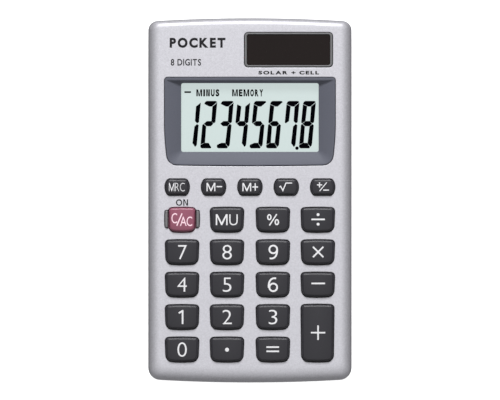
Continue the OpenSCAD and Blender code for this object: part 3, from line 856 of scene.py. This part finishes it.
GUARD_SPOT = middle("key_clear")
GUARD_Y = -5.25
GUARD_X, GUARD_T, GUARD_H = 3.9, 1.0, 4.8
GUARD_TOP = node_box("clear_key_guard")[1].z
RIB_R, RIB_BOW, BAY_GAP = 0.3, 0.1, 0.1
PLATE_R = 0.5
PLATE_HOLE_W, PLATE_HOLE_H, PLATE_HOLE_R = 7.9, 8.2, 0.3


def rib_outline(side, grow):
    """Rib beside the clear key: straight against the key, bowed on its outer side."""
    inner, outer = GUARD_X - grow, GUARD_X + GUARD_T + grow
    half, r = GUARD_H / 2 + grow, RIB_R + grow
    bow = [(outer - RIB_BOW * abs(t) ** 2.5, (half - r) * t) for t in (-0.8, -0.4, 0, 0.4, 0.8)]
    right = (
        arc(outer - RIB_BOW - r, r - half, r, -90, 0)
        + bow
        + arc(outer - RIB_BOW - r, half - r, r, 0, 90)
        + [(inner, half), (inner, -half)]
    )
    if side < 0:
        right = [(-x, y) for x, y in right[::-1]]
    return moved(right, GUARD_SPOT.x, GUARD_Y)


def clear_key_hole(grow):
    """The clear key's hole, with a bay on each side for the guard's rib."""
    rest, now = hole_outline("clear", 0), hole_outline("clear", grow)
    half = GUARD_H / 2 + BAY_GAP
    upper = [p for p, q in zip(now, rest) if q[1] > GUARD_Y + half]
    lower = [p for p, q in zip(now, rest) if q[1] < GUARD_Y - half]
    reach = grow - KEY_GAP + BAY_GAP
    left, right = rib_outline(-1, reach), rib_outline(1, reach)
    return upper + left[2:] + lower + right[:-2]


def make_guard():
    shape = Shape()
    low, high = node_box("clear_key_guard")
    profile = [
        (0, low.z), (0.05, GUARD_TOP - 0.5), (0.12, GUARD_TOP - 0.2),
        (0.2, GUARD_TOP - 0.06), (0.28, GUARD_TOP),
    ]  # fmt: skip
    for side in (-1, 1):
        shape.solid(lambda grow: rib_outline(side, grow), profile)
    x, y = GUARD_SPOT.x, GUARD_SPOT.y
    plate = rounded_rect(x, y, high.x - low.x, high.y - low.y, PLATE_R)
    hole = rounded_rect(x, y, PLATE_HOLE_W, PLATE_HOLE_H, PLATE_HOLE_R)
    outer = [shape.ring(plate, z) for z in (low.z, WALL_UNDER)]
    inner = [shape.ring(hole, z) for z in (WALL_UNDER, low.z)]
    shape.loft(outer + inner + outer[:1])
    make_piece("guard_ribs", shape, "slate_plastic", finish="rim_plastic", replaces=["clear_key_guard"])


make_guard()


# -------------------- shells


def quarter(steps):
    """Shares of a quarter round: (how far in, how far down) from edge-on to flat."""
    angles = [math.pi / 2 * i / steps for i in range(steps + 1)]
    return [(1 - math.cos(a), 1 - math.sin(a)) for a in angles]


def solar_hole(grow):
    low, high = node_box("solar_frame")
    spot = middle("solar_frame")
    return rounded_rect(spot.x, spot.y, high.x - low.x + 2 * grow, high.y - low.y + 2 * grow, SOLAR_R + grow)


def make_front_shell():
    shape = Shape()
    outside = [shape.ring(case_outline(EDGE), PARTING_Z), shape.ring(case_outline(0), PARTING_Z + EDGE)]
    for inward, down in quarter(14):
        outline = case_outline(ROUND_SIDE * inward, ROUND_TOP * inward, ROUND_BOTTOM * inward)
        outside.append(shape.ring(outline, FACE_Z - ROUND_DEPTH * down))
    inside = [shape.ring(case_outline(FRONT_WALL), z) for z in (WALL_UNDER, PARTING_Z)]
    shape.loft(inside + outside)

    plain_keys = [key for key in PILL_KEYS + SHIELD_KEYS if key != "clear"]
    holes = [lambda grow, key=key: hole_outline(key, grow) for key in plain_keys]
    holes += [clear_key_hole, bezel_outline, solar_hole]
    above, below = [], []
    for hole in holes:
        rings = [shape.ring(hole(KEY_GAP), WALL_UNDER)]
        for inward, down in quarter(4):
            rings.append(shape.ring(hole(KEY_GAP + HOLE_LIP_R * inward), FACE_Z - HOLE_LIP_R * down))
        rings.append(shape.ring(hole(KEY_GAP + HOLE_LIP_R + HOLE_MARGIN), FACE_Z))
        shape.loft(rings)
        below.append(rings[0])
        above.append(rings[-1])
    shape.sheet(outside[-1], above)
    shape.sheet(inside[0], below)
    for x, y in screw_places("case_screws"):
        shape.tube(x, y, SCREW_BOSS_R, SCREW_BORE_R, SCREW_BOSS_LOW, WALL_UNDER + OVERLAP)
    for x, y in screw_places("board_screws"):
        shape.tube(x, y, BOARD_BOSS_R, BOARD_BORE_R, BOARD_TOP, WALL_UNDER + OVERLAP)
    make_piece("front_shell", shape, "silver_paint", replaces=["front_case"])


def make_rear_shell():
    shape = Shape()
    places = screw_places("case_screws")
    cavity = relieved(fine_case_outline(REAR_WALL), places, SCREW_RELIEF_R)
    cavity = relieved(cavity, screw_places("board_screws"), BOARD_RELIEF_R)
    outside = [(REAR_STEP + REAR_ROUND * inward, REAR_ROUND_H * down) for inward, down in quarter(10)][::-1]
    outside += [(REAR_STEP, PARTING_Z - EDGE), (REAR_STEP + EDGE, PARTING_Z)]
    outside += [(FRONT_WALL + TONGUE_GAP, z) for z in (PARTING_Z, PARTING_Z + TONGUE_H)]
    rings = [shape.ring(fine_case_outline(inset), z) for inset, z in outside]
    inner = [shape.ring(cavity, z) for z in (PARTING_Z + TONGUE_H, REAR_FLOOR)]
    shape.loft(rings + inner)

    label = []
    for inset, z in ((0, 0), (LABEL_SLOPE, LABEL_H)):
        panel = rounded_rect(0, LABEL_Y, LABEL_W - 2 * inset, LABEL_L - 2 * inset, LABEL_R - inset)
        label.append(shape.ring(panel, z))
    shape.bridge(*label)
    shape.cap(label[1])
    below, above = [label[0]], []
    profile = [
        (RECESS_R + EDGE, 0), (RECESS_R, EDGE), (RECESS_R, RECESS_H), (SCREW_HOLE_R, RECESS_H),
        (SCREW_HOLE_R, POST_TOP), (POST_R, POST_TOP), (POST_R, REAR_FLOOR),
    ]  # fmt: skip
    for x, y in places:
        well = [shape.ring(circle(x, y, r), z) for r, z in profile]
        shape.loft(well)
        below.append(well[0])
        above.append(well[-1])
    shape.sheet(rings[0], below)
    shape.sheet(inner[-1], above)
    make_piece("rear_shell", shape, "dark_shell", replaces=["rear_case"])


make_front_shell()
make_rear_shell()


# -------------------- display and solar panel

PANE_TOP = node_box("display_window")[1].z
PANE_LOW = node_box("display_window")[0].z
BEZEL_TOP = node_box("display_bezel")[1].z
LIP, TOP_LIP_DROP = 0.3, 0.4


def make_bezel():
    shape = Shape()
    flange = [shape.ring(bezel_outline(BEZEL_FLANGE), z) for z in (PANE_LOW, WALL_UNDER)]
    rim = [shape.ring(bezel_outline(-inset), z) for inset, z in (
        (0, WALL_UNDER), (0, BEZEL_TOP - 0.12), (0.03, BEZEL_TOP - 0.05), (0.1, BEZEL_TOP),
    )]  # fmt: skip
    lip = [shape.ring(bezel_outline(-LIP, TOP_LIP_DROP), BEZEL_TOP)]
    lip.append(shape.ring(bezel_outline(-LIP - 0.08, TOP_LIP_DROP), BEZEL_TOP - 0.03))
    foot = [shape.ring(view_outline(0.06), PANE_TOP + 0.14), shape.ring(view_outline(0), PANE_TOP + 0.08)]
    foot.append(shape.ring(view_outline(0), PANE_TOP))
    seat = [shape.ring(view_outline(PANE_OVER), z) for z in (PANE_TOP, PANE_LOW)]
    shape.loft(flange + rim + lip + foot + seat + flange[:1])
    make_piece("bezel_frame", shape, "slate_plastic", replaces=["display_bezel"])


def make_solar_frame():
    spot = middle("solar_frame")
    low, high = node_box("solar_frame")
    pane_low, pane_high = node_box("solar_window")
    w, h = high.x - low.x, high.y - low.y
    pane_w, pane_h = pane_high.x - pane_low.x, pane_high.y - pane_low.y

    def inside(grow):
        return rounded_rect(spot.x, spot.y, pane_w + 2 * grow, pane_h + 2 * grow, SOLAR_PANE_R + grow)

    def outside(inset):
        return rounded_rect(spot.x, spot.y, w - 2 * inset, h - 2 * inset, SOLAR_R - inset)

    shape = Shape()
    crest, edge = high.z, high.z - 0.4
    outer = [(0, low.z), (0, edge), (0.03, crest - 0.22), (0.1, crest - 0.08), (0.19, crest)]
    inner = [(0.2, crest), (0.13, crest - 0.07), (0.08, crest - 0.2), (0.04, edge), (0, low.z)]
    rings = [shape.ring(outside(inset), z) for inset, z in outer]
    rings += [shape.ring(inside(grow), z) for grow, z in inner]
    shape.loft(rings + rings[:1])
    make_piece("solar_rim", shape, "slate_plastic", finish="rim_plastic", replaces=["solar_frame"])


make_bezel()
make_solar_frame()

# Segments of a display digit, upright, from the lower left corner of its box of 3.55 by 13.25
SEGMENTS = {
    "a": [
        (0, 12.45), (1.5, 11.75), (2.15, 11.75), (3.45, 12.95),
        (3.3, 13.15), (3, 13.25), (0.6, 13.25), (0.2, 13),
    ],
    "b": [(2.35, 11.7), (2.45, 7.65), (3.1, 7), (3.55, 7.35), (3.55, 12.8)],
    "c": [(2.45, 6.1), (2.33, 1.45), (3.15, 0.4), (3.45, 0.7), (3.55, 1.2), (3.55, 6.45), (3.1, 6.8)],
    "d": [(0, 0.55), (0.15, 0.2), (0.5, 0), (2.92, 0), (3.05, 0.25), (2.2, 1.48), (1.2, 1.48), (0.05, 0.95)],
    "e": [(0, 1.1), (1.18, 1.55), (1.08, 6.1), (0.25, 6.8), (0, 6.5)],
    "f": [(0, 7.3), (0.25, 7), (1.1, 7.65), (1.18, 11.75), (0, 12.3)],
    "g": [(0.38, 6.9), (1.2, 6.22), (2.42, 6.22), (3, 6.9), (2.42, 7.6), (1.2, 7.6)],
}  # fmt: skip
LIT = {
    "1": "bc", "2": "abged", "3": "abgcd", "4": "fgbc",
    "5": "afgcd", "6": "afgedc", "7": "abcf", "8": "abcdefg",
}  # fmt: skip
DIGIT_PITCH = 4.62
DIGIT_SLANT = 0.095
LAST_DIGIT_X, DIGITS_Y = 13.75, 14.63
SEGMENT_SPREAD = 0.035
FILM_GAP = 0.005
INDICATOR_Y, INDICATOR_H = 30.2, 1.95


def make_display_marks():
    film_top = node_box("lcd_front_polariser")[1].z
    marks = Print(0, 0, film_top + FILM_GAP, film_top + INK_H)
    for place, digit in enumerate("12345678"):
        x = LAST_DIGIT_X - DIGIT_PITCH * (7 - place)
        for segment in LIT[digit]:
            outline = grown(SEGMENTS[segment], SEGMENT_SPREAD)
            marks.patch([(x + px + DIGIT_SLANT * py, DIGITS_Y + py) for px, py in outline])
    marks.dot(13.22, DIGITS_Y + 0.02, 0.49)
    marks.bar(-17.48, 30.4, 1.85, 0.47)
    for text, x, w, gap in (("MINUS", -11.83, 6.45, 0.13), ("MEMORY", -0.65, 8.7, 0.12)):
        marks.word(text, x, INDICATOR_Y, w, INDICATOR_H, weight=0.046, gap=gap, even=0.42)
    make_piece("display_marks", marks, "carbon_rubber", finish="lcd_ink")


def make_case_print():
    words = Print(0, 0, FACE_Z, FACE_Z + INK_H)
    words.word("POCKET", -14.68, 44.2, 15.65, 2.8, weight=0.05, gap=0.14)
    words.word("8 DIGITS", -17.95, 38.72, 8.5, 1.85, weight=0.02, gap=0.12)
    words.word("SOLAR + CELL", 10.9, 35.8, 17, 1.0, weight=0.05, gap=0.15)
    words.word("ON", -19.06, -0.62, 3.38, 1.8, weight=0.02)
    make_piece("case_print", words, "carbon_rubber", finish="black_ink")


make_display_marks()
make_case_print()


# -------------------- keypad sheet and contacts

SHEET_LOW, SHEET_HIGH = node_box("keypad_sheet")
WEB_TOP, WEB_FOOT, WEB_R = BOARD_TOP + 0.4, -45.9, 4
WEB_SCREW_R = 1.3
DOME_R, DOME_TOP = 3.3, SHEET_HIGH.z
LATHE_START = 0.05  # the domes' smallest radius
CONTACT_R, CONTACT_END_R, CONTACT_EDGE = 1.5, 1.4, 0.05
CONTACT_CLEARANCE = 0.02  # left above the board when a key is pressed all the way


def make_keypad_web():
    shape = Shape()
    web_w, web_h = SHEET_HIGH.x - SHEET_LOW.x, SHEET_HIGH.y - WEB_FOOT
    outline = rounded_rect(0, (SHEET_HIGH.y + WEB_FOOT) / 2, web_w, web_h, WEB_R)
    rings = [shape.ring(outline, z) for z in (BOARD_TOP, WEB_TOP)]
    shape.bridge(*rings)
    spots = [middle("key_" + key) for key in PILL_KEYS + SHIELD_KEYS]
    holes = [(spot.x, spot.y, DOME_R) for spot in spots]
    holes += [(x, y, WEB_SCREW_R) for x, y in screw_places("board_screws") if y > 0]
    lower, upper = [], []
    for x, y, r in holes:
        pair = [shape.ring(circle(x, y, r), z) for z in (BOARD_TOP, WEB_TOP)]
        shape.bridge(*pair)
        lower.append(pair[0])
        upper.append(pair[1])
    shape.sheet(rings[0], lower)
    shape.sheet(rings[1], upper)
    make_piece("keypad_web", shape, "silicone", replaces=["keypad_sheet"])


def make_dome(key):
    """Rubber dome under a key, on a mesh of its own. On the real keypad the key squashes it when pressed."""
    spot, shape = middle("key_" + key), Shape()
    profile = [
        (LATHE_START, DOME_TOP - 0.5), (1.7, DOME_TOP - 0.5), (2.05, DOME_TOP - 0.65), (2.6, BOARD_TOP + 0.3),
        (2.8, BOARD_TOP), (DOME_R, BOARD_TOP), (DOME_R, WEB_TOP - 0.05), (3.12, WEB_TOP + 0.12),
        (2.62, DOME_TOP - 0.3), (2.5, DOME_TOP - 0.12), (2.3, DOME_TOP), (LATHE_START, DOME_TOP),
    ]  # fmt: skip
    shape.lathe(spot.x, spot.y, profile)
    piece = make_piece("dome_" + key, shape, "silicone", replaces=["keypad_sheet"])
    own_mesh(piece)


def make_pill(key):
    """Conductive pill that goes down with its key."""
    spot, shape = middle("key_" + key), Shape()
    low, high = (corner.z for corner in node_box("contact_pills"))
    low += CONTACT_CLEARANCE
    profile = [
        (CONTACT_END_R, low), (CONTACT_R, low + CONTACT_EDGE),
        (CONTACT_R, high - CONTACT_EDGE), (CONTACT_END_R, high),
    ]  # fmt: skip
    shape.lathe(spot.x, spot.y, profile)
    make_piece("pill_" + key, shape, "carbon_rubber", "key_" + key, ["contact_pills"])


make_keypad_web()
for key in PILL_KEYS + SHIELD_KEYS:
    make_dome(key)
    make_pill(key)


# -------------------- parts carried over from the frame

CARRIED = {
    "display_window": "clear_pane",
    "solar_window": "smoked_pane",
    "solar_cell": "solar_silicon",
    "solar_leads": "wire_jacket",
    "lcd_front_polariser": "lcd_film",
    "lcd_front_glass": "lcd_glass",
    "lcd_rear_glass": "lcd_glass",
    "lcd_rear_polariser": "lcd_film",
    "lcd_holder": "white_plastic",
    "lcd_cushion": "foam",
    "zebra_strip": "carbon_rubber",
    "main_board": "board_laminate",
    "chip_cover": "chip_resin",
    "capacitor": "capacitor_sleeve",
    "button_cell": "steel",
    "positive_contact": "nickel",
    "negative_contact": "nickel",
    "case_screws": "steel",
    "board_screws": "steel",
}
for node, finish in CARRIED.items():
    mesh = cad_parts[node].data
    mesh.materials.clear()
    mesh.materials.append(MATERIALS[finish])


# -------------------- floor, light and camera

FIELD_W = 140.25
LENS, SENSOR = 300, 36
CAMERA_X, CAMERA_Y = 0.022, 0.084
FLOOR_DROP = 0.01
# These are in metres
FLOOR_HALF = 1.5
LAMP_PLACE, LAMP_SIZE = (0, 0.9, 0.63), (0.5, 0.3)


def make_floor():
    mesh = bpy.data.meshes.new("floor")
    edge = [(-FLOOR_HALF, -FLOOR_HALF), (FLOOR_HALF, -FLOOR_HALF)]
    mesh.from_pydata([(x, y, 0) for x, y in edge + turned(edge)], [], [(0, 1, 2, 3)])
    floor = bpy.data.objects.new("floor", mesh)
    floor.location.z = -FLOOR_DROP * MM
    finish = Finish("floor_paper")
    finish.tinted((0.95, 0.95, 0.95), finish.spread(finish.noise(30), 0.99, 1.01))
    finish.shader.inputs["Roughness"].default_value = 0.9
    finish.shader.inputs["Emission Color"].default_value = (1, 1, 1, 1)
    finish.shader.inputs["Emission Strength"].default_value = 0.8
    mesh.materials.append(finish.material)
    floor.visible_diffuse = False
    floor.visible_glossy = False
    bpy.context.scene.collection.objects.link(floor)


def make_softbox(name, place, size, power, mirrored=True):
    """Rectangular lamp that faces the object. The camera never sees it, and reflections only if mirrored."""
    lamp = bpy.data.lights.new(name, "AREA")
    lamp.shape = "RECTANGLE"
    lamp.size, lamp.size_y = size
    lamp.energy = power
    holder = bpy.data.objects.new(name, lamp)
    holder.location = place
    holder.rotation_euler = Vector(place).to_track_quat("Z", "Y").to_euler()
    holder.visible_camera = False
    holder.visible_glossy = mirrored
    bpy.context.scene.collection.objects.link(holder)


def make_room():
    """Surroundings: bright overhead, dark from the horizon down, with a soft fill from the key end.

    The camera itself sees plain white.
    """
    world = bpy.data.worlds.new("studio")
    bpy.context.scene.world = world
    world.use_nodes = True
    tree = world.node_tree
    background = tree.nodes["Background"]
    way = tree.nodes.new("ShaderNodeTexCoord")
    split = tree.nodes.new("ShaderNodeSeparateXYZ")
    tree.links.new(way.outputs["Generated"], split.inputs[0])

    def ramp(value, low, high, stops):
        spread = tree.nodes.new("ShaderNodeMapRange")
        spread.inputs["From Min"].default_value = low
        spread.inputs["From Max"].default_value = high
        tree.links.new(value, spread.inputs["Value"])
        node = tree.nodes.new("ShaderNodeValToRGB")
        while len(node.color_ramp.elements) < len(stops):
            node.color_ramp.elements.new(0.5)
        for element, (position, level) in zip(node.color_ramp.elements, stops):
            element.position = position
            element.color = (level, level, level, 1)
        tree.links.new(spread.outputs["Result"], node.inputs["Fac"])
        return node.outputs["Color"]

    overhead = ramp(split.outputs["Z"], -1, 1, [(0, 0.02), (0.5, 0.015), (0.75, 0.09), (0.9, 0.37), (1, 0.9)])
    fill = ramp(split.outputs["Y"], 0, -1, [(0, 0), (0.3, 0.17), (0.7, 0.27), (1, 0.05)])
    both = tree.nodes.new("ShaderNodeMix")
    both.data_type = "RGBA"
    both.blend_type = "ADD"
    both.inputs[0].default_value = 1
    tree.links.new(overhead, both.inputs["A"])
    tree.links.new(fill, both.inputs["B"])
    seen = tree.nodes.new("ShaderNodeMix")
    seen.data_type = "RGBA"
    path = tree.nodes.new("ShaderNodeLightPath")
    tree.links.new(path.outputs["Is Camera Ray"], seen.inputs[0])
    tree.links.new(both.outputs["Result"], seen.inputs["A"])
    seen.inputs["B"].default_value = (1, 1, 1, 1)
    tree.links.new(seen.outputs["Result"], background.inputs["Color"])


def make_camera():
    data = bpy.data.cameras.new("camera")
    data.lens, data.sensor_width = LENS, SENSOR
    camera = bpy.data.objects.new("camera", data)
    camera.location = (CAMERA_X * MM, CAMERA_Y * MM, (FACE_Z + LENS / SENSOR * FIELD_W) * MM)
    bpy.context.scene.collection.objects.link(camera)
    bpy.context.scene.camera = camera


make_floor()
make_room()
# Two lamps in one place, of which the second doesn't show in the object's reflections
make_softbox("key_light", LAMP_PLACE, LAMP_SIZE, 8.2)
make_softbox("shadow_light", LAMP_PLACE, LAMP_SIZE, 7.7, mirrored=False)
make_camera()
bpy.context.scene.view_settings.view_transform = "Standard"
